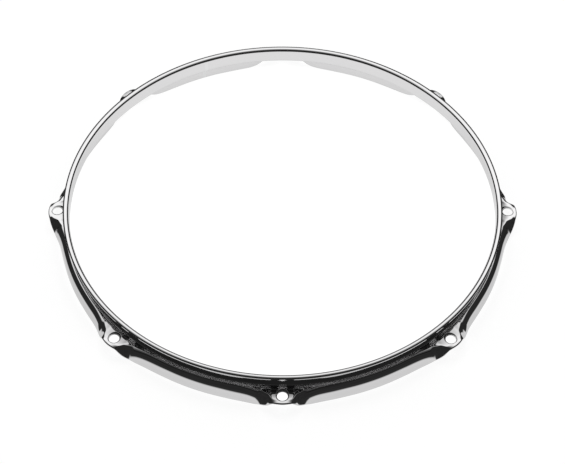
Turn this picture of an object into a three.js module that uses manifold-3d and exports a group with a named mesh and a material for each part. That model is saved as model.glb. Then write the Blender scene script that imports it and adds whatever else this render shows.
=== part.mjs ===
// Pressed steel drum hoop: a strip of sheet rolled into a ring, closed by a butt weld and formed
// into a top flange, an upright wall, a step, and a lower wall with eight drawn ears.
// Millimetres, +Z up, origin at the centre of the ring on the plane that the lower edge stands on.
// The middle of the first ear lies on the -Y axis, and the others follow anticlockwise from above.

import * as THREE from 'three';
import { mergeVertices } from 'three/addons/utils/BufferGeometryUtils.js';
import Module from 'manifold-3d';

const wasm = await Module();
wasm.setup();

// Sheet, and heights above the lower edge
const sheet = 2.0;
const hoopHeight = 28.8;
const stepHeight = 15.9;
const seatHeight = 14.5;

// Radius of the inner wall's face, and reaches outwards from it
const innerRadius = 180.7;
const skirtReach = 9.1;
const holeReach = 11.5;

// Bends, each on the hollow side of the sheet, and the straight land after the step's bend
const rimBendRadius = 1.0;
const stepBendRadius = 1.0;
const stepLand = 0.5;

// Top flange, on its outer side: the crown, the rolled part beyond it and the edge's two corners,
// with how far the surface leans, in degrees, where the bend, crown, roll and corner meet
const crownRadius = 4.6;
const rollRadius = 2.6;
const cornerRadius = 0.7;
const bendLean = -18;
const crownLean = 4;
const rollLean = 33;

// Ears: how many, half their width, and the reaches of the web and the seat beyond the rod holes
const earCount = 8;
const earHalfWidth = 20.0;
const webFrontReach = 3.3;
const earFrontReach = 7.6;

// Rod holes, each with a softened lip and a spot face whose flank flares up the sloping web
const holeDiameter = 8.5;
const lipWidth = 0.4;
const lipDepth = 0.5;
const spotFaceLand = 0.2;
const spotFaceDepth = 0.15;
const flankFlareShare = 0.88;
const cutterOverrun = 1.5;
const punchSides = 24;

// Butt weld, across the middle of a lobe of the lower wall
const weldWidth = 3.0;

// Stations of the lower wall, from the middle of an ear towards the middle of the next lobe.
// offset is a share of the ear's half width. shoulder is a share of the way from the step's edge out
// to the web's front, and edge of the way from the skirt out to the ear's front. drop is the fall of
// the step at the shoulder, as a share of the fall from the step to the seat, and level is how far
// the step has levelled out there. lift is the height of the lower edge, as a share of the seat's.
// start and finish are the lengths of the shoulder curve's two arms, as shares of its chord, and lean
// is the slope of the wall at its edge, as a share of a right angle from upright.
const stationShares = [
  { offset: 0, shoulder: 1, drop: 1, level: 1, edge: 1, lift: 1, start: 0.33, finish: 0.33, lean: 1 },
  { offset: 0.175, shoulder: 1, drop: 1, level: 1, edge: 0.975, lift: 0.999, start: 0.33, finish: 0.33,
    lean: 0.998 },
  { offset: 0.325, shoulder: 0.983, drop: 0.99, level: 0.95, edge: 0.92, lift: 0.96, start: 0.33,
    finish: 0.33, lean: 0.95 },
  { offset: 0.426, shoulder: 0.87, drop: 0.93, level: 0.8, edge: 0.875, lift: 0.89, start: 0.31,
    finish: 0.34, lean: 0.85 },
  { offset: 0.517, shoulder: 0.63, drop: 0.78, level: 0.55, edge: 0.835, lift: 0.755, start: 0.29,
    finish: 0.34, lean: 0.72 },
  { offset: 0.634, shoulder: 0.5, drop: 0.64, level: 0.3, edge: 0.745, lift: 0.55, start: 0.25,
    finish: 0.34, lean: 0.58 },
  { offset: 0.76, shoulder: 0.4, drop: 0.53, level: 0.15, edge: 0.64, lift: 0.425, start: 0.25,
    finish: 0.36, lean: 0.45 },
  { offset: 0.86, shoulder: 0.31, drop: 0.43, level: 0.05, edge: 0.55, lift: 0.35, start: 0.26,
    finish: 0.45, lean: 0.32 },
  { offset: 0.95, shoulder: 0.245, drop: 0.345, level: 0, edge: 0.46, lift: 0.28, start: 0.3,
    finish: 0.6, lean: 0.1 },
  { offset: 1.1, shoulder: 0.18, drop: 0.265, level: 0, edge: 0.33, lift: 0.16, start: 0.33,
    finish: 0.68, lean: 0.01 },
  { offset: 1.3, shoulder: 0.12, drop: 0.2, level: 0, edge: 0.2, lift: 0.07, start: 0.33, finish: 0.67,
    lean: 0 },
  { offset: 1.649, shoulder: 0.06, drop: 0.13, level: 0, edge: 0.085, lift: 0.02, start: 0.3,
    finish: 0.62, lean: 0 },
  { offset: 2.113, shoulder: 0.04, drop: 0.095, level: 0, edge: 0.03, lift: 0.005, start: 0.28,
    finish: 0.59, lean: 0 },
  { offset: 2.717, shoulder: 0.035, drop: 0.08, level: 0, edge: 0, lift: 0, start: 0.28, finish: 0.59,
    lean: 0 },
];

// Columns of each ear, as shares of its half width, and of each lobe, as shares of its width
const earColumnShares = [-1, -0.75, -0.59, -0.475, -0.37, -0.2, 0, 0.2, 0.37, 0.475, 0.59, 0.75, 1];
const lobeColumnShares = [0, 0.12, 0.3, 0.5, 0.7, 0.88, 1];
// Rows of the shoulder curve, as shares of the curve, and of the bends, as shares of their angle
const shoulderRowShares = [0.12, 0.27, 0.43, 0.6, 0.8, 1];
const bendRowShares = [0, 0.33, 0.67, 1];
const cornerRowShares = [0, 0.5, 1];

// Colours and finish of the plated steel
const chromeLook = { color: 0xd9dcdf, roughness: 0.06, metalness: 1 };

// Derived sizes
const skirtRadius = innerRadius + skirtReach;
const holeCircleRadius = innerRadius + holeReach;
const webFrontRadius = holeCircleRadius + webFrontReach;
const earRadius = holeCircleRadius + earFrontReach;
const bendCentreRadius = innerRadius + sheet + stepBendRadius;
const stepEdgeRadius = bendCentreRadius + stepLand;
const upright = 90;
const inRadians = Math.PI / 180;
const rimHeadings = {
  bend: (upright - bendLean) * inRadians,
  crown: (upright - crownLean) * inRadians,
  roll: (upright - rollLean) * inRadians,
};
// Centres of the top flange's circles, each where it touches the one before; the lower corner's
// circle touches the upright edge and the underside of the roll
const crownHeight = hoopHeight - crownRadius;
const rimBendCentre = {
  r: innerRadius + sheet + rimBendRadius,
  z: crownHeight + (crownRadius - sheet - rimBendRadius) * Math.sin(rimHeadings.bend),
};
const crownCentre = further(rimBendCentre, rimHeadings.bend, sheet + rimBendRadius - crownRadius);
const rollCentre = further(crownCentre, rimHeadings.crown, crownRadius - rollRadius);
const cornerCentre = further(rollCentre, rimHeadings.roll, rollRadius - cornerRadius);
const footRise = (rollRadius - sheet + cornerRadius
  - (cornerCentre.r - rollCentre.r) * Math.cos(rimHeadings.roll)) / Math.sin(rimHeadings.roll);
const footCentre = { r: cornerCentre.r, z: rollCentre.z + footRise };
const stepFall = (stepHeight - seatHeight) / (webFrontRadius - bendCentreRadius);
const stepAngle = Math.atan(stepFall);
const stepBendHeight = stepHeight + stepBendRadius;
const stepStart = {
  r: bendCentreRadius - stepBendRadius * Math.sin(stepAngle),
  z: stepBendHeight - stepBendRadius * Math.cos(stepAngle),
};
const stepEdgeHeight = stepStart.z - stepFall * (stepEdgeRadius - stepStart.r);
const pitch = (2 * Math.PI) / earCount;
const earHalfAngle = earHalfWidth / holeCircleRadius;
const weldHalfAngle = weldWidth / 2 / holeCircleRadius;
const weldLobe = Math.floor(earCount / 2) + 1;
const firstEarAngle = -Math.PI / 2;

// The point at a reach from a centre, along a heading in the section
function further(centre, heading, reach) {
  return { r: centre.r + reach * Math.cos(heading), z: centre.z + reach * Math.sin(heading) };
}

// Second derivatives of the cubic spline through the stations, level at both ends
function splineBends(x, y) {
  const n = x.length;
  const low = new Array(n).fill(0);
  const mid = new Array(n).fill(0);
  const high = new Array(n).fill(0);
  const right = new Array(n).fill(0);
  for (let i = 0; i < n; i += 1) {
    const before = i > 0 ? x[i] - x[i - 1] : 0;
    const after = i < n - 1 ? x[i + 1] - x[i] : 0;
    const riseBefore = i > 0 ? (y[i] - y[i - 1]) / before : 0;
    const riseAfter = i < n - 1 ? (y[i + 1] - y[i]) / after : 0;
    low[i] = before;
    mid[i] = 2 * (before + after);
    high[i] = after;
    right[i] = 6 * (riseAfter - riseBefore);
  }
  for (let i = 1; i < n; i += 1) {
    const f = low[i] / mid[i - 1];
    mid[i] -= f * high[i - 1];
    right[i] -= f * right[i - 1];
  }
  const bends = new Array(n).fill(0);
  for (let i = n - 1; i >= 0; i -= 1) {
    bends[i] = (right[i] - (i < n - 1 ? high[i] * bends[i + 1] : 0)) / mid[i];
  }
  return bends;
}

const stationNames = ['shoulder', 'drop', 'level', 'edge', 'lift', 'start', 'finish', 'lean'];
const stationOffsets = stationShares.map((row) => row.offset * earHalfWidth);
const stationSplines = {};
for (const name of stationNames) {
  const values = stationShares.map((row) => row[name]);
  stationSplines[name] = { values, bends: splineBends(stationOffsets, values) };
}

// The shares of a section at an angle from the nearest ear's middle
function sectionShares(angle) {
  const x = stationOffsets;
  const last = x.length - 1;
  const offset = Math.min(Math.abs(angle) * holeCircleRadius, x[last]);
  let i = 0;
  while (i < last - 1 && offset > x[i + 1]) i += 1;
  const h = x[i + 1] - x[i];
  const p = (x[i + 1] - offset) / h;
  const q = 1 - p;
  const out = {};
  for (const name of stationNames) {
    const { values, bends } = stationSplines[name];
    const cubic = (p ** 3 - p) * bends[i] + (q ** 3 - q) * bends[i + 1];
    out[name] = p * values[i] + q * values[i + 1] + (cubic * h * h) / 6;
  }
  return out;
}

// Outer face of the lower wall in its section: 0 to 1 runs along the step from its edge to the
// shoulder as a cubic in the radius, and 1 to 2 down the shoulder curve, a cubic Bezier
function outerFace(angle, s) {
  const share = sectionShares(angle);
  const rB = stepEdgeRadius + share.shoulder * (webFrontRadius - stepEdgeRadius);
  const zB = stepHeight - share.drop * (stepHeight - seatHeight);
  const fallB = stepFall * (1 - share.level);
  if (s <= 1) {
    const run = rB - stepEdgeRadius;
    const z = (2 * s ** 3 - 3 * s * s + 1) * stepEdgeHeight + (3 * s * s - 2 * s ** 3) * zB
      - (s ** 3 - 2 * s * s + s) * run * stepFall - (s ** 3 - s * s) * run * fallB;
    return { r: stepEdgeRadius + run * s, z };
  }
  const rE = skirtRadius + share.edge * (earRadius - skirtRadius);
  const zE = Math.max(share.lift, 0) * seatHeight;
  const chord = Math.hypot(rE - rB, zE - zB);
  const slope = Math.atan(fallB);
  const lean = (Math.min(Math.max(share.lean, 0), 1) * Math.PI) / 2;
  const r1 = rB + share.start * chord * Math.cos(slope);
  const z1 = zB - share.start * chord * Math.sin(slope);
  const r2 = rE - share.finish * chord * Math.sin(lean);
  const z2 = zE + share.finish * chord * Math.cos(lean);
  const t = s - 1;
  const w = 1 - t;
  return {
    r: w ** 3 * rB + 3 * w * w * t * r1 + 3 * w * t * t * r2 + t ** 3 * rE,
    z: w ** 3 * zB + 3 * w * w * t * z1 + 3 * w * t * t * z2 + t ** 3 * zE,
  };
}

function place(point, angle) {
  return new THREE.Vector3(point.r * Math.cos(angle), point.r * Math.sin(angle), point.z);
}

// Angle from the middle of the nearest ear
function fromEar(angle) {
  const turns = (angle - firstEarAngle) / pitch;
  return (turns - Math.round(turns)) * pitch;
}

// Outer and inner point of the lower wall, the inner one a sheet's thickness along the normal
function lowerWallPair(angle, s) {
  const nudge = 1e-4;
  const local = fromEar(angle);
  const at = (a, t) => place(outerFace(local + a, t), angle + a);
  const along = at(nudge, s).sub(at(-nudge, s));
  const ahead = s >= 2 ? s : s + nudge;
  const behind = s <= 0 ? s : s - nudge;
  const down = at(0, ahead).sub(at(0, behind));
  const normal = down.cross(along).normalize();
  const outside = at(0, s);
  return [outside, outside.clone().addScaledVector(normal, -sheet)];
}

// Pairs of points of the turned sections, outside first, from the rim down
function rimPairs(angle) {
  const { bend, crown, roll } = rimHeadings;
  const pairs = cornerRowShares.map((share) => [
    further(footCentre, share * (roll - Math.PI), cornerRadius),
    further(cornerCentre, share * roll, cornerRadius),
  ]);
  const top = Math.PI / 2;
  pairs.push([further(rollCentre, roll, rollRadius - sheet),
    further(rollCentre, (roll + crown) / 2, rollRadius)]);
  pairs.push([further(crownCentre, top, crownRadius - sheet), further(crownCentre, top, crownRadius)]);
  for (const share of bendRowShares) {
    pairs.push(bendPair(rimBendCentre, rimBendRadius, bend + share * (Math.PI - bend)));
  }
  return pairs.map((pair) => pair.map((point) => place(point, angle)));
}

// Points on the hollow and the full side of a bend
function bendPair(centre, radius, heading) {
  return [further(centre, heading, radius), further(centre, heading, radius + sheet)];
}

function wallPairs(angle) {
  const pair = (z) => [place({ r: innerRadius + sheet, z }, angle), place({ r: innerRadius, z }, angle)];
  return [pair(rimBendCentre.z), pair(stepBendHeight)];
}

function stepPairs(angle) {
  const centre = { r: bendCentreRadius, z: stepBendHeight };
  const pairs = bendRowShares.map((share) => {
    const heading = Math.PI + share * (Math.PI / 2 - stepAngle);
    return bendPair(centre, stepBendRadius, heading).map((point) => place(point, angle));
  });
  pairs.push(lowerWallPair(angle, 0));
  return pairs;
}

function lowerPairs(angle) {
  const rows = [0, 1].concat(shoulderRowShares.map((share) => 1 + share));
  return rows.map((s) => lowerWallPair(angle, s));
}

function weldPairs(angle) {
  const pairs = [rimPairs, wallPairs, stepPairs, lowerPairs].map((section) => section(angle));
  return pairs.reduce((all, next) => all.concat(next.slice(1)));
}

// A closed length of sheet: columns of point pairs joined side by side, with its edges and ends shut
function sheetGeometry(columns) {
  const rows = columns[0].length;
  const positions = [];
  for (const column of columns) {
    for (const [outside, inside] of column) positions.push(...outside.toArray(), ...inside.toArray());
  }
  const outer = (c, i) => 2 * (c * rows + i);
  const inner = (c, i) => 2 * (c * rows + i) + 1;
  const index = [];
  const quad = (a, b, c, d) => index.push(a, b, c, a, c, d);
  for (let c = 0; c < columns.length - 1; c += 1) {
    for (let i = 0; i < rows - 1; i += 1) {
      quad(outer(c, i), outer(c, i + 1), outer(c + 1, i + 1), outer(c + 1, i));
      quad(inner(c, i), inner(c + 1, i), inner(c + 1, i + 1), inner(c, i + 1));
    }
    quad(outer(c, 0), outer(c + 1, 0), inner(c + 1, 0), inner(c, 0));
    const n = rows - 1;
    quad(outer(c, n), inner(c, n), inner(c + 1, n), outer(c + 1, n));
  }
  const end = columns.length - 1;
  for (let i = 0; i < rows - 1; i += 1) {
    quad(outer(0, i), inner(0, i), inner(0, i + 1), outer(0, i + 1));
    quad(outer(end, i), outer(end, i + 1), inner(end, i + 1), inner(end, i));
  }
  const geometry = new THREE.BufferGeometry();
  geometry.setAttribute('position', new THREE.Float32BufferAttribute(positions, 3));
  geometry.setIndex(index);
  return geometry;
}

function toSolid(geometry) {
  const bare = geometry.clone();
  bare.deleteAttribute('normal');
  bare.deleteAttribute('uv');
  const merged = mergeVertices(bare);
  return new wasm.Manifold(new wasm.Mesh({
    numProp: 3,
    vertProperties: new Float32Array(merged.attributes.position.array),
    triVerts: new Uint32Array(merged.index.array),
  }));
}

function toGeometry(solid) {
  const mesh = solid.getMesh();
  const geometry = new THREE.BufferGeometry();
  geometry.setAttribute('position', new THREE.BufferAttribute(mesh.vertProperties, mesh.numProp));
  geometry.setIndex(new THREE.BufferAttribute(mesh.triVerts, 1));
  return geometry;
}

// Punch for a rod hole: the bore, the softened lip and the spot face with its flared flank
function punchGeometry(angle) {
  const holeRadius = holeDiameter / 2;
  const spotRadius = holeRadius + lipWidth + spotFaceLand;
  const floor = seatHeight - spotFaceDepth;
  const low = seatHeight - sheet - cutterOverrun;
  const top = stepHeight + cutterOverrun;
  const flare = flankFlareShare * (top - floor);
  const profile = [
    new THREE.Vector2(0, low),
    new THREE.Vector2(holeRadius, low),
    new THREE.Vector2(holeRadius, floor - lipDepth),
    new THREE.Vector2(holeRadius + lipWidth, floor),
    new THREE.Vector2(spotRadius, floor),
    new THREE.Vector2(spotRadius + flare, top),
    new THREE.Vector2(0, top),
  ];
  const geometry = new THREE.LatheGeometry(profile, punchSides);
  geometry.rotateY(Math.PI / punchSides);
  geometry.rotateX(Math.PI / 2);
  geometry.translate(holeCircleRadius, 0, 0);
  geometry.rotateZ(angle);
  return geometry;
}

function earGeometry(angle) {
  const columns = earColumnShares.map((share) => lowerPairs(angle + share * earHalfAngle));
  return toGeometry(toSolid(sheetGeometry(columns)).subtract(toSolid(punchGeometry(angle))));
}

// Angles of a lobe's columns, from one ear's root to the next
function lobeAngles(lobe) {
  const start = firstEarAngle + (lobe - 1) * pitch + earHalfAngle;
  return lobeColumnShares.map((share) => start + share * (pitch - 2 * earHalfAngle));
}

// Columns of the rings: from one side of the weld round to the other, matching ears and lobes
function ringAngles() {
  const angles = [];
  const weldAngle = firstEarAngle + (weldLobe - 0.5) * pitch;
  for (let step = 0; step < earCount; step += 1) {
    const ear = weldLobe + step;
    for (const share of earColumnShares) angles.push(firstEarAngle + ear * pitch + share * earHalfAngle);
    angles.push(...lobeAngles(ear + 1).slice(1, -1));
  }
  const after = lobeAngles(weldLobe).filter((a) => a > weldAngle + weldHalfAngle).slice(0, -1);
  const turn = 2 * Math.PI;
  const end = weldAngle + turn - weldHalfAngle;
  return [weldAngle + weldHalfAngle, ...after, ...angles.filter((a) => a < end), end];
}

const hoop = new THREE.Group();

function addPiece(name, geometry) {
  const piece = new THREE.Mesh(geometry, new THREE.MeshStandardMaterial(chromeLook));
  piece.name = name;
  hoop.add(piece);
}

const rings = [['rim_flange', rimPairs], ['hoop_wall', wallPairs], ['step_flange', stepPairs]];
for (const [name, pairs] of rings) {
  addPiece(name, sheetGeometry(ringAngles().map(pairs)));
}

for (let ear = 1; ear <= earCount; ear += 1) {
  addPiece(`ear_${ear}`, earGeometry(firstEarAngle + (ear - 1) * pitch));
}

const weldMiddle = firstEarAngle + (weldLobe - 0.5) * pitch;
const weldSides = [weldMiddle - weldHalfAngle, weldMiddle + weldHalfAngle];
for (let lobe = 1; lobe <= earCount; lobe += 1) {
  const angles = lobeAngles(lobe);
  if (lobe === weldLobe) {
    const before = [...angles.filter((a) => a < weldSides[0]), weldSides[0]];
    const after = [weldSides[1], ...angles.filter((a) => a > weldSides[1])];
    addPiece(`skirt_${lobe}`, sheetGeometry(before.map(lowerPairs)));
    addPiece(`skirt_${lobe}b`, sheetGeometry(after.map(lowerPairs)));
  } else {
    addPiece(`skirt_${lobe}`, sheetGeometry(angles.map(lowerPairs)));
  }
}

addPiece('seam_weld', sheetGeometry(weldSides.map(weldPairs)));

export default hoop;
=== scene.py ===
import math

import bpy
import numpy as np
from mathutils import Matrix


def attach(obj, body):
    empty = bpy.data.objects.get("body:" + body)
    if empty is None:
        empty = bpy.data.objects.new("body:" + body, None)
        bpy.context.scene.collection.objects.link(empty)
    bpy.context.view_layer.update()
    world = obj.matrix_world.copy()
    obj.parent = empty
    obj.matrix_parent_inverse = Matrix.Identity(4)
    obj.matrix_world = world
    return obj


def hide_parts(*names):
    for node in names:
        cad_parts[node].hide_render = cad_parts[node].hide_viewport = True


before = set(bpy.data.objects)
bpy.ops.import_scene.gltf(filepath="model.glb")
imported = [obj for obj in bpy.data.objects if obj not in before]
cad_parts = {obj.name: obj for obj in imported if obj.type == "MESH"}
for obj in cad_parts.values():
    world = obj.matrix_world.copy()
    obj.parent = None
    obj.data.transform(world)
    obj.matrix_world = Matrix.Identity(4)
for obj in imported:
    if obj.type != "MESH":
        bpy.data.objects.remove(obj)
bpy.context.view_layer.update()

# A pressed steel drum hoop, chrome plated: one strip of sheet, rolled into a ring and closed by a
# butt weld, with a top flange, an upright wall, a step and a lower wall with eight drawn ears.
# Sizes here are in millimetres; MM turns them into the scene's metres.
MM = 0.001

# The sheet, and heights above the lower edge
SHEET = 2.0
HOOP_HEIGHT = 28.8
STEP_HEIGHT = 15.9
SEAT_HEIGHT = 14.5
# Radii, from the inner wall out to the front of the ears
INNER_RADIUS = 180.7
SKIRT_RADIUS = 189.8
HOLE_CIRCLE = 192.2
WEB_FRONT = 195.5
EAR_FRONT = 199.8
# Top flange: the hollow of its bend, then its crown, its rolled edge and that edge's corners, which
# are measured on the outer side
RIM_BEND = 1.0
CROWN_RADIUS = 4.6
ROLL_RADIUS = 2.6
RIM_CORNER = 0.7
# Lean of the flange's surface, in degrees inwards and outwards, where its circles meet
BEND_TO_CROWN, CROWN_TO_ROLL, ROLL_TO_CORNER = 18.0, 4.0, 33.0
# Step: the hollow of its bend, and the land past the bend
STEP_BEND = 1.0
STEP_LAND = 0.5
# Ears, and the weld in the middle of the lobe that follows the ear of the same number
EAR_COUNT = 8
EAR_HALF_WIDTH = 20.0
WELD_WIDTH = 3.0
WELD_LOBE = 5

# Rod hole: bore, softened lip, a spot face whose flank flares up the sloping web, and the softness
# of the flank where it starts and where it ends
HOLE_RADIUS = 4.25
LIP_WIDTH = 0.4
LIP_DEPTH = 0.5
SPOT_RADIUS = 4.85
SPOT_DEPTH = 0.15
FLANK_FLARE = 0.88
FLANK_START = 0.12
FLANK_SOFTNESS = 0.3
UNDER_LIP = 0.2

# Sheared edge of the lower wall, rounded by polishing before it was plated
EDGE_ROUND = 0.85

# Stations of the lower wall from the middle of an ear to the middle of a lobe: distance as a share
# of the ear's half width, then shoulder, drop, level, edge, lift, start, finish and lean
STATIONS = np.array([
    [0, 1, 1, 1, 1, 1, 0.33, 0.33, 1],
    [0.175, 1, 1, 1, 0.975, 0.999, 0.33, 0.33, 0.998],
    [0.325, 0.983, 0.99, 0.95, 0.92, 0.96, 0.33, 0.33, 0.95],
    [0.426, 0.87, 0.93, 0.8, 0.875, 0.89, 0.31, 0.34, 0.85],
    [0.517, 0.63, 0.78, 0.55, 0.835, 0.755, 0.29, 0.34, 0.72],
    [0.634, 0.5, 0.64, 0.3, 0.745, 0.55, 0.25, 0.34, 0.58],
    [0.76, 0.4, 0.53, 0.15, 0.64, 0.425, 0.25, 0.36, 0.45],
    [0.86, 0.31, 0.43, 0.05, 0.55, 0.35, 0.26, 0.45, 0.32],
    [0.95, 0.245, 0.345, 0, 0.46, 0.28, 0.3, 0.6, 0.1],
    [1.1, 0.18, 0.265, 0, 0.33, 0.16, 0.33, 0.68, 0.01],
    [1.3, 0.12, 0.2, 0, 0.2, 0.07, 0.33, 0.67, 0],
    [1.649, 0.06, 0.13, 0, 0.085, 0.02, 0.3, 0.62, 0],
    [2.113, 0.04, 0.095, 0, 0.03, 0.005, 0.28, 0.59, 0],
    [2.717, 0.035, 0.08, 0, 0, 0, 0.28, 0.59, 0],
])

BEND_CENTRE = INNER_RADIUS + SHEET + STEP_BEND
STEP_EDGE = BEND_CENTRE + STEP_LAND
STEP_FALL = (STEP_HEIGHT - SEAT_HEIGHT) / (WEB_FRONT - BEND_CENTRE)
STEP_ANGLE = math.atan(STEP_FALL)
STEP_BEND_Z = STEP_HEIGHT + STEP_BEND
STEP_START_R = BEND_CENTRE - STEP_BEND * math.sin(STEP_ANGLE)
STEP_START_Z = STEP_BEND_Z - STEP_BEND * math.cos(STEP_ANGLE)
STEP_EDGE_Z = STEP_START_Z - STEP_FALL * (STEP_EDGE - STEP_START_R)
PITCH = 2 * math.pi / EAR_COUNT
EAR_HALF_ANGLE = EAR_HALF_WIDTH / HOLE_CIRCLE
WELD_HALF_ANGLE = WELD_WIDTH / 2 / HOLE_CIRCLE
FIRST_EAR = -math.pi / 2
WELD_ANGLE = FIRST_EAR + (WELD_LOBE - 0.5) * PITCH

# Rows of points on each run of the sections
BEND_ROWS, CROWN_ROWS, ROLL_ROWS, CORNER_ROWS, FOOT_ROWS = 9, 5, 6, 9, 8
WALL_ROWS = 5
# Rows of the lower wall: shares of the way out along the step and of the way down the shoulder, and
# how many rows go round each quarter of its free edge
STEP_ROWS = np.append(0, np.linspace(0.12, 1, 16))
CURVE_ROWS = np.linspace(0, 1, 29)[1:]
EDGE_ROWS = 5
# Columns over each ear and each lobe, spread evenly
EAR_COLUMNS = np.linspace(-EAR_HALF_ANGLE, EAR_HALF_ANGLE, 65)
LOBE_COLUMNS = np.linspace(EAR_HALF_ANGLE, PITCH - EAR_HALF_ANGLE, 73)
WELD_COLUMNS = 4
# The rod hole's patch: the columns it takes up on each side of the ear's middle, the rows it lies
# between, its rings on the seat, round the lip, below and round the lower lip, and the power that
# draws the rings together towards the hole
PATCH_HALF_COLUMNS = 11
PATCH_ROWS = (1, 30)
SEAT_RINGS, LIP_RINGS, UNDER_RINGS, UNDER_LIP_RINGS = 24, 5, 12, 3
RING_POWER = 1.25


# ---- the sheet's surfaces ----

def spline_bends(x, y):
    """Second derivatives of the cubic splines through the rows of y at x, level at both ends: each
    one balances the change of slope across its point against its neighbours'."""
    h = np.diff(x)
    rise = np.diff(y, axis=0) / h[:, None]
    matrix = np.diag(2 * (np.append(h, 0) + np.append(0, h))) + np.diag(h, 1) + np.diag(h, -1)
    none = np.zeros((1, y.shape[1]))
    return np.linalg.solve(matrix, 6 * (np.vstack([rise, none]) - np.vstack([none, rise])))


STATION_AT = STATIONS[:, 0] * EAR_HALF_WIDTH
STATION_SHARES = STATIONS[:, 1:]
STATION_BENDS = spline_bends(STATION_AT, STATION_SHARES)


def section_shares(offset):
    """The eight shares of the section at a distance from the middle of the nearest ear, on the
    cubic splines through the stations; past the last station they stay as they are there."""
    x = np.clip(np.abs(offset), 0, STATION_AT[-1])
    i = np.clip(np.searchsorted(STATION_AT, x) - 1, 0, len(STATION_AT) - 2)
    h = (STATION_AT[i + 1] - STATION_AT[i])[..., None]
    p = (STATION_AT[i + 1] - x)[..., None] / h
    q = 1 - p
    cubic = (p**3 - p) * STATION_BENDS[i] + (q**3 - q) * STATION_BENDS[i + 1]
    out = p * STATION_SHARES[i] + q * STATION_SHARES[i + 1] + cubic * h * h / 6
    return np.moveaxis(out, -1, 0)


def outer_face(local, s):
    """Radius and height on the outer face of the lower wall, at an angle from the nearest ear's
    middle. s from 0 to 1 runs out along the step, a cubic that starts at the step's slope and has
    levelled out by its share at the shoulder. s from 1 to 2 runs down the shoulder, a cubic Bezier
    whose arms are shares of its chord and whose end leans from upright by its share of a right
    angle."""
    local, s = np.broadcast_arrays(np.asarray(local, float), np.asarray(s, float))
    shoulder, drop, level, edge, lift, start, finish, lean = section_shares(local * HOLE_CIRCLE)
    r_b = STEP_EDGE + shoulder * (WEB_FRONT - STEP_EDGE)
    z_b = STEP_HEIGHT - drop * (STEP_HEIGHT - SEAT_HEIGHT)
    fall = STEP_FALL * (1 - level)
    run = r_b - STEP_EDGE
    step_z = ((2 * s**3 - 3 * s**2 + 1) * STEP_EDGE_Z + (3 * s**2 - 2 * s**3) * z_b
              - (s**3 - 2 * s**2 + s) * run * STEP_FALL - (s**3 - s**2) * run * fall)
    step_r = STEP_EDGE + run * s
    r_e = SKIRT_RADIUS + edge * (EAR_FRONT - SKIRT_RADIUS)
    z_e = np.maximum(lift, 0) * SEAT_HEIGHT
    chord = np.hypot(r_e - r_b, z_e - z_b)
    slope = np.arctan(fall)
    tilt = np.clip(lean, 0, 1) * math.pi / 2
    r_1, z_1 = r_b + start * chord * np.cos(slope), z_b - start * chord * np.sin(slope)
    r_2, z_2 = r_e - finish * chord * np.sin(tilt), z_e + finish * chord * np.cos(tilt)
    t = s - 1
    w = 1 - t
    curve_r = w**3 * r_b + 3 * w * w * t * r_1 + 3 * w * t * t * r_2 + t**3 * r_e
    curve_z = w**3 * z_b + 3 * w * w * t * z_1 + 3 * w * t * t * z_2 + t**3 * z_e
    return np.where(s <= 1, step_r, curve_r), np.where(s <= 1, step_z, curve_z)


def place(r, z, angle):
    """Points at a radius, a height and an angle round the hoop's axis."""
    r, z, angle = np.broadcast_arrays(r, z, angle)
    return np.stack([r * np.cos(angle), r * np.sin(angle), z], axis=-1)


def unit(v):
    """Vectors of length 1 in the directions of v."""
    return v / np.linalg.norm(v, axis=-1, keepdims=True)


def from_ear(angle):
    """Angle from the middle of the nearest ear."""
    turns = (angle - FIRST_EAR) / PITCH
    return (turns - np.round(turns)) * PITCH


def lower_wall(angle, s):
    """Points, outward normals, downward tangents and speeds on the outer face of the lower wall.
    The normal is the cross product of the small steps down the section and along the hoop."""
    nudge = 1e-5
    local = from_ear(angle)

    def at(turn, slide):
        return place(*outer_face(local + turn, s + slide), angle + turn)

    down = (at(0, nudge) - at(0, -nudge)) / (2 * nudge)
    along = at(nudge, 0) - at(-nudge, 0)
    return at(0, 0), unit(np.cross(down, along)), unit(down), np.linalg.norm(down, axis=-1)


def lower_loops(angles):
    """Closed loops round the lower wall's sheet, one for each angle: down the outer face, round the
    free edge on two quarter circles, and up the inner face, which lies a sheet's thickness along
    the normal. The rows of the shoulder are spread between it and the start of the edge's round."""
    angle = np.asarray(angles)[:, None]
    speed = lower_wall(angle, np.full_like(angle, 2.0))[3]
    cut = 2 - EDGE_ROUND / speed
    s = np.concatenate([np.broadcast_to(STEP_ROWS, (len(angles), len(STEP_ROWS))),
                        1 + CURVE_ROWS * (cut - 1)], axis=1)
    face, normal, _, _ = lower_wall(angle, s)
    turn = np.linspace(0, math.pi / 2, EDGE_ROWS)[None, :]
    near = 2 - EDGE_ROUND * (1 - np.sin(turn)) / speed
    at, out, down, _ = lower_wall(angle, near)
    deep = EDGE_ROUND * (1 - np.cos(turn))[..., None]
    cos, sin = np.cos(turn)[..., None], np.sin(turn)[..., None]
    points = [face, (at - out * deep)[:, 1:], (at - out * (SHEET - deep))[:, :0:-1],
              (face - normal * SHEET)[:, ::-1]]
    normals = [normal, (out * cos + down * sin)[:, 1:], (down * sin - out * cos)[:, :0:-1],
               -normal[:, ::-1]]
    return np.concatenate(points, axis=1), unit(np.concatenate(normals, axis=1))


def arc(centre, radius, first, last, count, facing=1):
    """Points and normals of a section's arc: the centre plus the radius along each direction."""
    a = np.linspace(first, last, count)
    spoke = np.stack([np.cos(a), np.sin(a)], axis=-1)
    return np.array(centre) + radius * spoke, facing * spoke


def line(first, last, normal, count):
    """Points and one normal along a section's straight run."""
    share = np.linspace(0, 1, count)[:, None]
    return np.array(first) * (1 - share) + np.array(last) * share, np.tile(normal, (count, 1))


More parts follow.
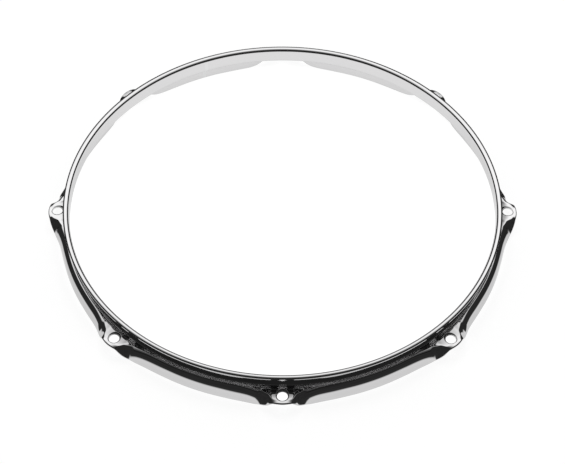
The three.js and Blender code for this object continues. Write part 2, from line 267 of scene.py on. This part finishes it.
def join(*runs):
    """One section from its runs, one after the other. A point that two runs share is kept once."""
    same = 1e-6
    points = np.vstack([points for points, _ in runs])
    normals = np.vstack([normals for _, normals in runs])
    new = np.append(True, np.linalg.norm(np.diff(points, axis=0), axis=1) > same)
    return points[new], normals[new]


def turned_loops(section, angles):
    """A section's points and normals, each turned about the hoop's axis to every angle."""
    (points, normals), angle = section, np.asarray(angles)[:, None]
    loops = place(points[None, :, 0], points[None, :, 1], angle)
    return loops, place(normals[None, :, 0], normals[None, :, 1], angle)


def heading(lean):
    """Direction angle in the section of a normal that leans outwards by an angle in degrees."""
    return math.radians(90 - lean)


def further(centre, lean, reach):
    """The point at a reach from a centre along the normal that leans by an angle."""
    return centre[0] + reach * math.cos(heading(lean)), centre[1] + reach * math.sin(heading(lean))


# Centres of the flange's circles, each where the next one touches the one before it
RIM_BEND_Z = (HOOP_HEIGHT - CROWN_RADIUS
              + (CROWN_RADIUS - SHEET - RIM_BEND) * math.cos(math.radians(BEND_TO_CROWN)))
BEND_MIDDLE = (INNER_RADIUS + SHEET + RIM_BEND, RIM_BEND_Z)
CROWN_MIDDLE = further(BEND_MIDDLE, -BEND_TO_CROWN, SHEET + RIM_BEND - CROWN_RADIUS)
ROLL_MIDDLE = further(CROWN_MIDDLE, CROWN_TO_ROLL, CROWN_RADIUS - ROLL_RADIUS)
CORNER_MIDDLE = further(ROLL_MIDDLE, ROLL_TO_CORNER, ROLL_RADIUS - RIM_CORNER)
# The lower corner's circle touches the upright edge and the rolled underside
FOOT_RISE = ((ROLL_RADIUS - SHEET + RIM_CORNER
              - (CORNER_MIDDLE[0] - ROLL_MIDDLE[0]) * math.cos(heading(ROLL_TO_CORNER)))
             / math.sin(heading(ROLL_TO_CORNER)))
FOOT_MIDDLE = (CORNER_MIDDLE[0], ROLL_MIDDLE[1] + FOOT_RISE)


def rim_section():
    """The flange: up round the outside of its bend, out over its crown and its rolled edge, round
    the corner and down the upright edge, round the lower corner, back below the roll and the crown
    and down the hollow of the bend."""
    first, second, third = (heading(a) for a in (-BEND_TO_CROWN, CROWN_TO_ROLL, ROLL_TO_CORNER))
    return join(
        arc(BEND_MIDDLE, RIM_BEND + SHEET, math.pi, first, BEND_ROWS),
        arc(CROWN_MIDDLE, CROWN_RADIUS, first, second, CROWN_ROWS),
        arc(ROLL_MIDDLE, ROLL_RADIUS, second, third, ROLL_ROWS),
        arc(CORNER_MIDDLE, RIM_CORNER, third, 0, CORNER_ROWS),
        arc(FOOT_MIDDLE, RIM_CORNER, 0, third - math.pi, FOOT_ROWS),
        arc(ROLL_MIDDLE, ROLL_RADIUS - SHEET, third, second, ROLL_ROWS, -1),
        arc(CROWN_MIDDLE, CROWN_RADIUS - SHEET, second, first, CROWN_ROWS, -1),
        arc(BEND_MIDDLE, RIM_BEND, first, math.pi, BEND_ROWS, -1))


def wall_section():
    """The upright wall: down its outer face and up its inner face."""
    outer, inner = INNER_RADIUS + SHEET, INNER_RADIUS
    return join(line((outer, RIM_BEND_Z), (outer, STEP_BEND_Z), (1, 0), WALL_ROWS),
                line((inner, STEP_BEND_Z), (inner, RIM_BEND_Z), (-1, 0), WALL_ROWS))


def step_section():
    """The step: round the hollow side of its bend, out along its land, and back below both, a
    sheet's thickness away."""
    bend = (BEND_CENTRE, STEP_BEND_Z)
    last = 1.5 * math.pi - STEP_ANGLE
    up = np.array([math.sin(STEP_ANGLE), math.cos(STEP_ANGLE)])
    edge = np.array([STEP_EDGE, STEP_EDGE_Z])
    return join(
        arc(bend, STEP_BEND, math.pi, last, BEND_ROWS, -1),
        (edge[None, :], up[None, :]),
        (edge[None, :] - SHEET * up, -up[None, :]),
        arc(bend, STEP_BEND + SHEET, last, math.pi, BEND_ROWS))


# ---- the rod hole's patch, in the frame of an ear whose middle lies on +X ----

def solve_slide(r, local):
    """The s at which the outer face reaches a radius, found by halving the interval from 0 to 2."""
    halvings = 44
    low, high = np.zeros_like(r), np.full_like(r, 2.0)
    for _ in range(halvings):
        middle = (low + high) / 2
        short = outer_face(local, middle)[0] < r
        low, high = np.where(short, middle, low), np.where(short, high, middle)
    return (low + high) / 2


def web_height(x, y):
    """Height of the pressed web and seat above a point in plan."""
    local, r = np.arctan2(y, x), np.hypot(x, y)
    return outer_face(local, solve_slide(r, local))[1]


def seat_height(x, y):
    """Height of the web with its spot face: the soft minimum of the web and of the tool's profile,
    which is flat out to the spot face's radius and then climbs along its flank."""
    web = web_height(x, y)
    past = np.hypot(x - HOLE_CIRCLE, y) - SPOT_RADIUS
    climb = (past + np.sqrt(past**2 + FLANK_START**2)) / 2
    tool = SEAT_HEIGHT - SPOT_DEPTH + climb / FLANK_FLARE
    share = np.clip(0.5 + 0.5 * (tool - web) / FLANK_SOFTNESS, 0, 1)
    return tool + (web - tool) * share - FLANK_SOFTNESS * share * (1 - share)


def seat_surface(x, y):
    """Points and normals of the seat: the normal leans against the height's slope in x and y."""
    nudge = 0.01
    dx = (seat_height(x + nudge, y) - seat_height(x - nudge, y)) / (2 * nudge)
    dy = (seat_height(x, y + nudge) - seat_height(x, y - nudge)) / (2 * nudge)
    normals = unit(np.stack([-dx, -dy, np.ones_like(dx)], axis=-1))
    return np.stack([x, y, seat_height(x, y)], axis=-1), normals


def under_surface(x, y):
    """Points and normals of the underside below a point in plan: the outer point whose offset by
    the sheet's thickness lands there is found by stepping back along its own normal."""
    tries = 7
    px, py = x, y
    for _ in range(tries):
        local = np.arctan2(py, px)
        point, normal, _, _ = lower_wall(local + FIRST_EAR, solve_slide(np.hypot(px, py), local))
        turned = spin(normal, -FIRST_EAR)
        px, py = x + SHEET * turned[..., 0], y + SHEET * turned[..., 1]
    height = point[..., 2] - SHEET * normal[..., 2]
    return np.stack([x, y, height], axis=-1), -turned


def spin(points, angle):
    """Points or normals turned about the hoop's axis."""
    c, s = math.cos(angle), math.sin(angle)
    return points @ np.array([[c, s, 0], [-s, c, 0], [0, 0, 1]])


def hole_patch(top, under):
    """Rings from the nodes round the hole on the top face, in to the lip, down the bore and out to
    the same nodes on the underside. Rings draw closer together towards the hole."""
    def polar(nodes):
        return (np.arctan2(nodes[:, 1], nodes[:, 0] - HOLE_CIRCLE),
                np.hypot(nodes[:, 0] - HOLE_CIRCLE, nodes[:, 1]))

    spoke, reach = polar(top)
    lip = HOLE_RADIUS + LIP_WIDTH
    share = (np.linspace(1, 0, SEAT_RINGS + 1)[1:] ** RING_POWER)[:, None]
    rho = lip + share * (reach - lip)
    rings = [seat_surface(HOLE_CIRCLE + rho * np.cos(spoke), rho * np.sin(spoke))]
    out = np.stack([np.cos(spoke), np.sin(spoke), np.zeros_like(spoke)], axis=-1)[None]
    up = np.array([0, 0, 1.0])
    turn = np.linspace(0, math.pi / 2, LIP_RINGS + 1)[1:, None, None]
    rim = rings[0][0][-1:]
    rings.append((rim - out * LIP_WIDTH * np.sin(turn) - up * LIP_DEPTH * (1 - np.cos(turn)),
                  unit(-out * np.sin(turn) / LIP_WIDTH + up * np.cos(turn) / LIP_DEPTH)))
    under_spoke, under_reach = polar(under)
    low = HOLE_RADIUS + UNDER_LIP
    share = (np.linspace(0, 1, UNDER_RINGS + 1)[:-1] ** RING_POWER)[:, None]
    bearing = spoke + share * ((under_spoke - spoke + math.pi) % (2 * math.pi) - math.pi)
    rho = low + share * (under_reach - low)
    below = under_surface(HOLE_CIRCLE + rho * np.cos(bearing), rho * np.sin(bearing))
    brink = below[0][:1]
    turn = np.linspace(0, math.pi / 2, UNDER_LIP_RINGS + 1)[:-1, None, None]
    rings.append((brink - out * UNDER_LIP * (1 - np.sin(turn)) + up * UNDER_LIP * np.cos(turn),
                  unit(-out * np.cos(turn) - up * np.sin(turn))))
    rings.append(below)
    return np.concatenate([p for p, _ in rings]), np.concatenate([n for _, n in rings])


# ---- meshes ----

def loop_faces(columns, rows, joints):
    """Quads between neighbouring loops and quads that shut the two ends, as vertex numbers, and
    whether each is flat. The ends are, and so are the joints, the rows where two pressed lengths
    meet."""
    i, k = np.meshgrid(np.arange(columns - 1), np.arange(rows), indexing="ij")
    j = (k + 1) % rows
    sides = np.stack([i * rows + k, i * rows + j, (i + 1) * rows + j, (i + 1) * rows + k], axis=-1)
    flat = np.isin(k, np.array(joints, int) % rows)
    k = np.arange(rows // 2 - 1)
    last = (columns - 1) * rows
    start = np.stack([k, rows - 1 - k, rows - 2 - k, k + 1], axis=-1)
    end = last + np.stack([k, k + 1, rows - 2 - k, rows - 1 - k], axis=-1)
    faces = np.vstack([sides.reshape(-1, 4), start, end])
    return faces, np.concatenate([flat.ravel(), np.ones(2 * len(k), bool)])


def make_piece(name, points, normals, faces, flat, material, nodes):
    """A mesh from whole arrays, in metres. Curved faces carry the surface's own normals, so that
    the plating reflects without facets; flat ones carry their face's."""
    mesh = bpy.data.meshes.new(name)
    mesh.vertices.add(len(points))
    mesh.vertices.foreach_set("co", (points * MM).astype(np.float32).ravel())
    mesh.loops.add(faces.size)
    mesh.loops.foreach_set("vertex_index", faces.astype(np.int32).ravel())
    mesh.polygons.add(len(faces))
    mesh.polygons.foreach_set("loop_start", np.arange(0, faces.size, 4, dtype=np.int32))
    mesh.polygons.foreach_set("use_smooth", np.ones(len(faces), bool))
    mesh.update(calc_edges=True)
    corner = normals[faces]
    cross = np.cross(points[faces[:, 2]] - points[faces[:, 0]],
                     points[faces[:, 3]] - points[faces[:, 1]])
    corner[flat] = unit(cross)[flat][:, None, :]
    mesh.normals_split_custom_set(corner.reshape(-1, 3))
    mesh.materials.append(material)
    piece = bpy.data.objects.new(name, mesh)
    bpy.context.scene.collection.objects.link(piece)
    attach(piece, "root")
    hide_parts(*nodes)
    return piece


def ear_mesh():
    """One ear with its middle on +X: the loops of the lower wall, with the quads round the rod hole
    on both faces taken out and the hole's patch put in their place."""
    points, normals = lower_loops(EAR_COLUMNS + FIRST_EAR)
    points, normals = spin(points, -FIRST_EAR), spin(normals, -FIRST_EAR)
    columns, rows = points.shape[:2]
    faces, flat = loop_faces(columns, rows, [-1])
    middle = columns // 2
    first, last = middle - PATCH_HALF_COLUMNS, middle + PATCH_HALF_COLUMNS
    high, low = PATCH_ROWS
    i, k = np.meshgrid(np.arange(columns - 1), np.arange(rows), indexing="ij")
    inside = (i >= first) & (i < last)
    taken = inside & (((k >= high) & (k < low)) | ((k >= rows - 1 - low) & (k < rows - 1 - high)))
    kept = np.concatenate([~taken.ravel(), np.ones(len(faces) - taken.size, bool)])
    across, along = np.arange(high, low), np.arange(first, last)
    column = np.concatenate([np.full_like(across, first), along, np.full_like(across, last),
                             along[::-1] + 1])
    row = np.concatenate([across, np.full_like(along, low), across[::-1] + 1,
                          np.full_like(along, high)])
    top, under = column * rows + row, column * rows + rows - 1 - row
    flat_points = points.reshape(-1, 3)
    ring_points, ring_normals = hole_patch(flat_points[top], flat_points[under])
    count = len(top)
    ring_at = flat_points.shape[0] + np.arange(ring_points[..., 0].size).reshape(-1, count)
    strip = np.vstack([top, ring_at, under])
    turned = np.roll(strip, -1, axis=1)
    quads = np.stack([strip[:-1], turned[:-1], turned[1:], strip[1:]], axis=-1).reshape(-1, 4)
    return (np.vstack([flat_points, ring_points.reshape(-1, 3)]),
            np.vstack([normals.reshape(-1, 3), ring_normals.reshape(-1, 3)]),
            np.vstack([faces[kept], quads]),
            np.concatenate([flat[kept], np.zeros(len(quads), bool)]))


def ring_columns():
    """Angles of the rings' columns, from one side of the weld round to the other."""
    angles = []
    for ear in range(WELD_LOBE, WELD_LOBE + EAR_COUNT):
        angles.append(FIRST_EAR + ear * PITCH + EAR_COLUMNS)
        angles.append(FIRST_EAR + ear * PITCH + LOBE_COLUMNS[1:-1])
    first, last = WELD_ANGLE + WELD_HALF_ANGLE, WELD_ANGLE + 2 * math.pi - WELD_HALF_ANGLE
    before = FIRST_EAR + (WELD_LOBE - 1) * PITCH + LOBE_COLUMNS[1:-1]
    angles = np.concatenate([before] + angles)
    return np.concatenate([[first], angles[(angles > first) & (angles < last)], [last]])


def weld_loops(angles):
    """Closed loops round the strip's whole section: from the middle of the rim's edge back along
    its underside, down the outer faces of the wall, step and lower wall, and up the inner ones."""
    rim, wall, step = (turned_loops(section, angles) for section in
                       (rim_section(), wall_section(), step_section()))
    loops = []
    for r, w, s, lower in zip(rim, wall, step, lower_loops(angles)):
        first_half, second_half = np.split(r, 2, axis=1)
        loops.append(np.concatenate([
            second_half, w[:, 1:WALL_ROWS - 1], s[:, :BEND_ROWS], lower, s[:, BEND_ROWS + 2:],
            w[:, WALL_ROWS + 1:-1], first_half], axis=1))
    return loops


def loops_piece(name, loops, joints, material, nodes):
    """A piece from its closed loops' points and normals."""
    points, normals = loops
    faces, flat = loop_faces(points.shape[0], points.shape[1], joints)
    return make_piece(name, points.reshape(-1, 3), normals.reshape(-1, 3), faces, flat, material,
                      nodes)


# ---- materials ----

def to_linear(hex_code):
    """An sRGB hex colour as linear red, green, blue and alpha."""
    parts = [int(hex_code[i:i + 2], 16) / 255 for i in (1, 3, 5)]
    return [c / 12.92 if c <= 0.04045 else ((c + 0.055) / 1.055) ** 2.4 for c in parts] + [1.0]


def add(tree, kind, settings=None, **inputs):
    """Adds one node: settings are its properties, and each input is a value or another's output.
    An input's name is written with _ for a space, or as in0, in1 for its place in the list."""
    node = tree.nodes.new(kind)
    for name, value in (settings or {}).items():
        setattr(node, name, value)
    for name, value in inputs.items():
        key = int(name[2:]) if name[:2] == "in" and name[2:].isdigit() else name.replace("_", " ")
        socket = node.inputs[key]
        if isinstance(value, bpy.types.NodeSocket):
            tree.links.new(value, socket)
        else:
            socket.default_value = value
    return node


def noise(tree, where, size, detail):
    """A noise over patches of a size, on the coordinates given."""
    return add(tree, "ShaderNodeTexNoise", Vector=where, Scale=1 / (size * MM),
               Detail=detail).outputs["Fac"]


def mapped(tree, value, to, span=(0.0, 1.0), smooth=False):
    """A value's place in a span, turned into the same place between two levels. A smooth one starts
    and ends its way gently."""
    kind = "SMOOTHSTEP" if smooth else "LINEAR"
    return add(tree, "ShaderNodeMapRange", {"interpolation_type": kind}, Value=value,
               From_Min=span[0], From_Max=span[1], To_Min=to[0], To_Max=to[1]).outputs["Result"]


def combined(tree, operation, first, second):
    """The result of a maths node on two values."""
    return add(tree, "ShaderNodeMath", {"operation": operation}, in0=first, in1=second).outputs[0]


# Sizes of the patches of tint and of polish, and of the ripples, in the plating
TINT_PATCH, POLISH_PATCH, RIPPLE = 60.0, 9.0, 14.0
# Part of the polish noise's range that the roughness spreads over
POLISH_SPAN = (0.3, 0.75)
# Tint of what the plating mirrors at a slant
SLANT_TINT = "#E4E4E4"


def chrome(name, low, high, rough, haze, wave):
    """Bright nickel-chrome plate on polished sheet steel: a nearly perfect mirror with a faint cool
    and warm drift between its two tints, a polish that is uneven by its haze, and a waviness of a
    few microns at most that bends long reflections a little."""
    material = bpy.data.materials.new(name)
    material.use_nodes = True
    tree = material.node_tree
    shader = tree.nodes["Principled BSDF"]
    where = add(tree, "ShaderNodeTexCoord").outputs["Object"]
    # Inputs 6 and 7 and output 2 of the mix are its colours
    tint = add(tree, "ShaderNodeMix", {"data_type": "RGBA"}, in6=to_linear(low),
               in7=to_linear(high), in0=noise(tree, where, TINT_PATCH, detail=2.0))
    polish = noise(tree, where, POLISH_PATCH, detail=4.0)
    spread = mapped(tree, polish, (rough, rough + haze), POLISH_SPAN)
    ripple = noise(tree, where, RIPPLE, detail=1.5)
    bump = add(tree, "ShaderNodeBump", Height=ripple, Strength=1.0, Distance=wave * MM)
    tree.links.new(tint.outputs[2], shader.inputs["Base Color"])
    tree.links.new(spread, shader.inputs["Roughness"])
    tree.links.new(bump.outputs["Normal"], shader.inputs["Normal"])
    shader.inputs["Metallic"].default_value = 1.0
    shader.inputs["Specular Tint"].default_value = to_linear(SLANT_TINT)
    return material


chrome_plate = chrome("bright_nickel_chrome_plate", "#CDCDCE", "#D2D1D1", rough=0.004, haze=0.006,
                      wave=0.0008)
chrome_weld = chrome("chrome_over_dressed_weld", "#CFD0D0", "#D5D5D5", rough=0.02, haze=0.02,
                     wave=0.003)

# ---- pieces ----

angles = ring_columns()
rings = [("plated_rim", rim_section(), [-1], "rim_flange"),
         ("plated_wall", wall_section(), [WALL_ROWS - 1, -1], "hoop_wall"),
         ("plated_step", step_section(), [BEND_ROWS, -1], "step_flange")]
for name, section, joints, node in rings:
    piece = loops_piece(name, turned_loops(section, angles), joints, chrome_plate, [node])

ear_points, ear_normals, ear_faces, ear_flat = ear_mesh()
for ear in range(EAR_COUNT):
    turn = FIRST_EAR + ear * PITCH
    piece = make_piece(f"plated_ear_{ear + 1}", spin(ear_points, turn), spin(ear_normals, turn),
                       ear_faces, ear_flat, chrome_plate, [f"ear_{ear + 1}"])

weld_sides = [WELD_ANGLE - WELD_HALF_ANGLE, WELD_ANGLE + WELD_HALF_ANGLE]
for lobe in range(1, EAR_COUNT + 1):
    columns = FIRST_EAR + (lobe - 1) * PITCH + LOBE_COLUMNS
    parts = [(f"skirt_{lobe}", columns)]
    if lobe == WELD_LOBE:
        parts = [(f"skirt_{lobe}", np.append(columns[columns < weld_sides[0]], weld_sides[0])),
                 (f"skirt_{lobe}b", np.append(weld_sides[1], columns[columns > weld_sides[1]]))]
    for node, part in parts:
        piece = loops_piece("plated_" + node, lower_loops(part), [-1], chrome_plate, [node])

piece = loops_piece("plated_weld", weld_loops(np.linspace(*weld_sides, WELD_COLUMNS)), [],
                    chrome_weld, ["seam_weld"])

# ---- stage, light and camera ----

# White paper under the hoop: its half side, how far it lies below the lower edge, its grain and
# tones, and its glow inside and outside the radii between which the one turns into the other. The
# glow paints light and shade: it is stronger inside the hoop and weaker outside it, a painted shade
PAPER_HALF_SIDE, PAPER_DEPTH = 6000.0, 0.05
PAPER_GRAIN, PAPER_TONES = 4.0, (0.19, 0.21)
PAPER_GLOW_AND_PAINTED_SHADE, PAINTED_SHADE_RING = (0.98, 0.86), (182.0, 196.0)
# Black cloth that the plating shows outside a radius: the half width of its soft border, how far it
# lies below the lower edge, and the size of its folds and the light on them
CLOTH_RADIUS, CLOTH_BORDER = 207.5, 6.0
CLOTH_DEPTH = 0.02
CLOTH_FOLDS, CLOTH_LIGHT = 700.0, (0.015, 0.045)
SURROUND_RADIUS = 3000.0
# Soft box over the hoop, and the strip light that carries on from its far side
BOX_HEIGHT = 670.0
BOX_LEFT, BOX_RIGHT = -660.0, 600.0
BOX_NEAR, BOX_FAR = -450.0, 860.0
STRIP_HALF_WIDTH, STRIP_FAR = 170.0, 1500.0
# Where each change of the soft box's light starts and ends from front to back, and how much it adds
BOX_CHANGES = [(-450.0, -50.0, 0.1), (-120.0, 430.0, 1.35), (580.0, 900.0, -0.95)]
# Where its light starts on its left side and its right side, and where it has come up to full
BOX_SIDES = [(BOX_LEFT, -480.0), (BOX_RIGHT, 400.0)]
# Size of its slightly brighter and duller patches, and their levels
BOX_PATCH, BOX_EVENNESS = 500.0, (0.97, 1.03)
# Even light of the world on what doesn't show its white
WORLD_LIGHT = 0.48


def stage_mesh(name, points, faces, material, seen=True):
    """A stage object from whole arrays. One that is not seen shows only in the plating: the camera
    looks through it and it throws no shadow."""
    mesh = bpy.data.meshes.new(name)
    mesh.from_pydata((np.asarray(points) * MM).tolist(), [], faces)
    mesh.materials.append(material)
    card = bpy.data.objects.new(name, mesh)
    bpy.context.scene.collection.objects.link(card)
    if not seen:
        card.visible_camera = card.visible_diffuse = card.visible_shadow = False


def background_rays(tree):
    """1 on the rays that show the white background: the camera's, and those mirrored in metal or
    bent through glass."""
    ray = add(tree, "ShaderNodeLightPath").outputs
    both = combined(tree, "MAXIMUM", ray["Is Glossy Ray"], ray["Is Transmission Ray"])
    return combined(tree, "MAXIMUM", ray["Is Camera Ray"], both)


def stage_material(name):
    """A material with nothing in it but its object's coordinates."""
    material = bpy.data.materials.new(name)
    material.use_nodes = True
    tree = material.node_tree
    tree.nodes.clear()
    return material, tree, add(tree, "ShaderNodeTexCoord").outputs["Object"]


def distance_step(tree, value, start, end, to=(0.0, 1.0)):
    """A level that goes smoothly from one value to the other between two distances."""
    return mapped(tree, value, to, (start * MM, end * MM), smooth=True)


def distance_from_axis(tree, where):
    """Distance from the hoop's axis on a card that lies flat on the floor."""
    return add(tree, "ShaderNodeVectorMath", {"operation": "LENGTH"}, in0=where).outputs["Value"]


def floor_paper_with_painted_shade():
    """White studio paper: a matt sheet that keeps the hoop's shadow, with enough glow for it to
    come out white. The glow also paints light and shade: it is stronger inside the hoop and weaker
    outside it, a painted shade round the hoop."""
    material, tree, where = stage_material("white_studio_paper_with_painted_shade")
    shade = mapped(tree, noise(tree, where, PAPER_GRAIN, detail=3.0), PAPER_TONES)
    paper = add(tree, "ShaderNodeBsdfDiffuse", Color=shade)
    # Painted light and shade: the glow is stronger inside the hoop than outside it
    level = distance_step(tree, distance_from_axis(tree, where), *PAINTED_SHADE_RING, to=PAPER_GLOW_AND_PAINTED_SHADE)
    glow_with_painted_shade = combined(tree, "MULTIPLY", background_rays(tree), level)
    light = add(tree, "ShaderNodeEmission", Strength=glow_with_painted_shade)
    whole = add(tree, "ShaderNodeAddShader", in0=paper.outputs[0], in1=light.outputs[0])
    add(tree, "ShaderNodeOutputMaterial", Surface=whole.outputs[0])
    return material


def dark_cloth(name, inner=None, outer=None):
    """Black studio cloth with a little light on it. With two radii, it's clear inside the inner one
    and whole outside the outer one."""
    material, tree, where = stage_material(name)
    level = mapped(tree, noise(tree, where, CLOTH_FOLDS, detail=2.0), CLOTH_LIGHT)
    surface = add(tree, "ShaderNodeEmission", Strength=level).outputs[0]
    if outer:
        past = distance_step(tree, distance_from_axis(tree, where), inner, outer)
        clear = add(tree, "ShaderNodeBsdfTransparent")
        surface = add(tree, "ShaderNodeMixShader", Fac=past, in1=clear.outputs[0],
                      in2=surface).outputs[0]
    add(tree, "ShaderNodeOutputMaterial", Surface=surface)
    return material


def soft_box_cloth():
    """White diffuser of an overhead soft box. Its light grows in two smooth steps from nothing at
    its near edge, falls to a third on its far part, which hangs away from the lamps, and fades out
    at its sides."""
    material, tree, where = stage_material("soft_box_diffuser")
    across = add(tree, "ShaderNodeSeparateXYZ", Vector=where).outputs
    total = 0.0
    for start, end, amount in BOX_CHANGES:
        change = distance_step(tree, across["Y"], start, end, to=(0.0, amount))
        total = combined(tree, "ADD", change, total)
    for start, end in BOX_SIDES:
        total = combined(tree, "MULTIPLY", distance_step(tree, across["X"], start, end), total)
    level = mapped(tree, noise(tree, where, BOX_PATCH, detail=1.0), BOX_EVENNESS)
    light = add(tree, "ShaderNodeEmission", Strength=combined(tree, "MULTIPLY", total, level))
    add(tree, "ShaderNodeOutputMaterial", Surface=light.outputs[0])
    return material


def square(x0, x1, y0, y1, z):
    """A flat rectangle between two x and two y at a height, as points and a face."""
    return [(x0, y0, z), (x1, y0, z), (x1, y1, z), (x0, y1, z)], [(0, 1, 2, 3)]


def ring_card(inner, outer, z, count=96):
    """A flat ring: two circles of points joined by quads."""
    turn = np.arange(count) * 2 * math.pi / count
    points = np.concatenate([place(inner, z, turn), place(outer, z, turn)])
    k = np.arange(count)
    j = (k + 1) % count
    return points, np.stack([k, k + count, j + count, j], axis=-1).tolist()


def dome(radius, rows=24, columns=96, last_ring=88):
    """A half sphere over the stage, its faces turned inwards: rings of points from the floor up to
    a last small ring at its angle in degrees, closed by one face."""
    lift = np.linspace(0, math.radians(last_ring), rows)[:, None]
    turn = (np.arange(columns) * 2 * math.pi / columns)[None, :]
    points = place(radius * np.cos(lift), radius * np.sin(lift), turn).reshape(-1, 3)
    i, k = np.meshgrid(np.arange(rows - 1), np.arange(columns), indexing="ij")
    j = (k + 1) % columns
    faces = np.stack([i * columns + k, (i + 1) * columns + k, (i + 1) * columns + j,
                      i * columns + j], axis=-1).reshape(-1, 4).tolist()
    return points, faces + [((rows - 1) * columns + np.arange(columns)[::-1]).tolist()]


half = PAPER_HALF_SIDE
stage_mesh("studio_floor", *square(-half, half, -half, half, -PAPER_DEPTH), floor_paper_with_painted_shade())
border = (CLOTH_RADIUS - CLOTH_BORDER, CLOTH_RADIUS + CLOTH_BORDER)
stage_mesh("dark_table", *ring_card(border[0], SURROUND_RADIUS, -CLOTH_DEPTH),
           dark_cloth("black_table_cloth", *border), seen=False)
stage_mesh("dark_surround", *dome(SURROUND_RADIUS), dark_cloth("black_studio_cloth"), seen=False)
diffuser = soft_box_cloth()
stage_mesh("overhead_soft_box",
           *square(BOX_LEFT, BOX_RIGHT, BOX_NEAR, BOX_FAR, BOX_HEIGHT), diffuser, seen=False)
stage_mesh("far_strip_light",
           *square(-STRIP_HALF_WIDTH, STRIP_HALF_WIDTH, BOX_FAR, STRIP_FAR, BOX_HEIGHT), diffuser,
           seen=False)


def studio_world():
    """White on the rays that show the background, and an even light on everything else."""
    world = bpy.data.worlds.new("studio_world")
    world.use_nodes = True
    bpy.context.scene.world = world
    tree = world.node_tree
    tree.nodes.clear()
    back = add(tree, "ShaderNodeBackground", Color=(1.0, 1.0, 1.0, 1.0),
               Strength=mapped(tree, background_rays(tree), (WORLD_LIGHT, 1.0)))
    add(tree, "ShaderNodeOutputWorld", Surface=back.outputs[0])


studio_world()


def soft_lamp(name, at, size, power):
    """A square area lamp that faces straight down; the plating shows the soft box in its place.
    The place and the size are in metres and the power in watts."""
    lamp = bpy.data.lights.new(name, "AREA")
    lamp.energy, lamp.size = power, size
    box = bpy.data.objects.new(name, lamp)
    box.location = at
    box.visible_glossy = False
    bpy.context.scene.collection.objects.link(box)


soft_lamp("overhead_lamp", at=(0.0, 0.6, 1.9), size=1.4, power=14.0)

# Camera: found from five rod holes, both edges of the rim and the lower edge in the photograph. Its
# reach and its clipping distances are in metres, and its focal length in pixels of that frame
CAMERA_TILT = math.radians(48.95)
CAMERA_TURN = math.radians(0.12)
CAMERA_ROLL = math.radians(-0.22)
CAMERA_REACH = 1.602
CLIP_NEAR, CLIP_FAR = 0.05, 50.0
FRAME_WIDTH, FRAME_HEIGHT = 565, 464
FOCAL_PIXELS = 1889.4
AXIS_PIXEL = (282.66, 199.83)
SENSOR_WIDTH = 36.0


def photo_camera():
    """A camera at its reach from the middle of the rim, tilted down, turned and rolled, whose shift
    puts the lens axis on its pixel."""
    ct, st = math.cos(CAMERA_TILT), math.sin(CAMERA_TILT)
    ca, sa = math.cos(CAMERA_TURN), math.sin(CAMERA_TURN)
    right = np.array([ca, -sa, 0])
    up = np.array([st * sa, st * ca, ct])
    back = np.array([-ct * sa, -ct * ca, st])
    cr, sr = math.cos(CAMERA_ROLL), math.sin(CAMERA_ROLL)
    turn = np.eye(4)
    turn[:3, 0], turn[:3, 1], turn[:3, 2] = right * cr - up * sr, right * sr + up * cr, back
    turn[:3, 3] = back * CAMERA_REACH + np.array([0, 0, HOOP_HEIGHT * MM])
    data = bpy.data.cameras.new("photo_camera")
    data.sensor_width = SENSOR_WIDTH
    data.lens = FOCAL_PIXELS * SENSOR_WIDTH / FRAME_WIDTH
    data.shift_x = (FRAME_WIDTH / 2 - AXIS_PIXEL[0]) / FRAME_WIDTH
    data.shift_y = (AXIS_PIXEL[1] - FRAME_HEIGHT / 2) / FRAME_WIDTH
    data.clip_start, data.clip_end = CLIP_NEAR, CLIP_FAR
    camera = bpy.data.objects.new("photo_camera", data)
    bpy.context.scene.collection.objects.link(camera)
    camera.matrix_world = [list(row) for row in turn.T]
    bpy.context.scene.camera = camera


photo_camera()
bpy.context.scene.view_settings.view_transform = "Standard"
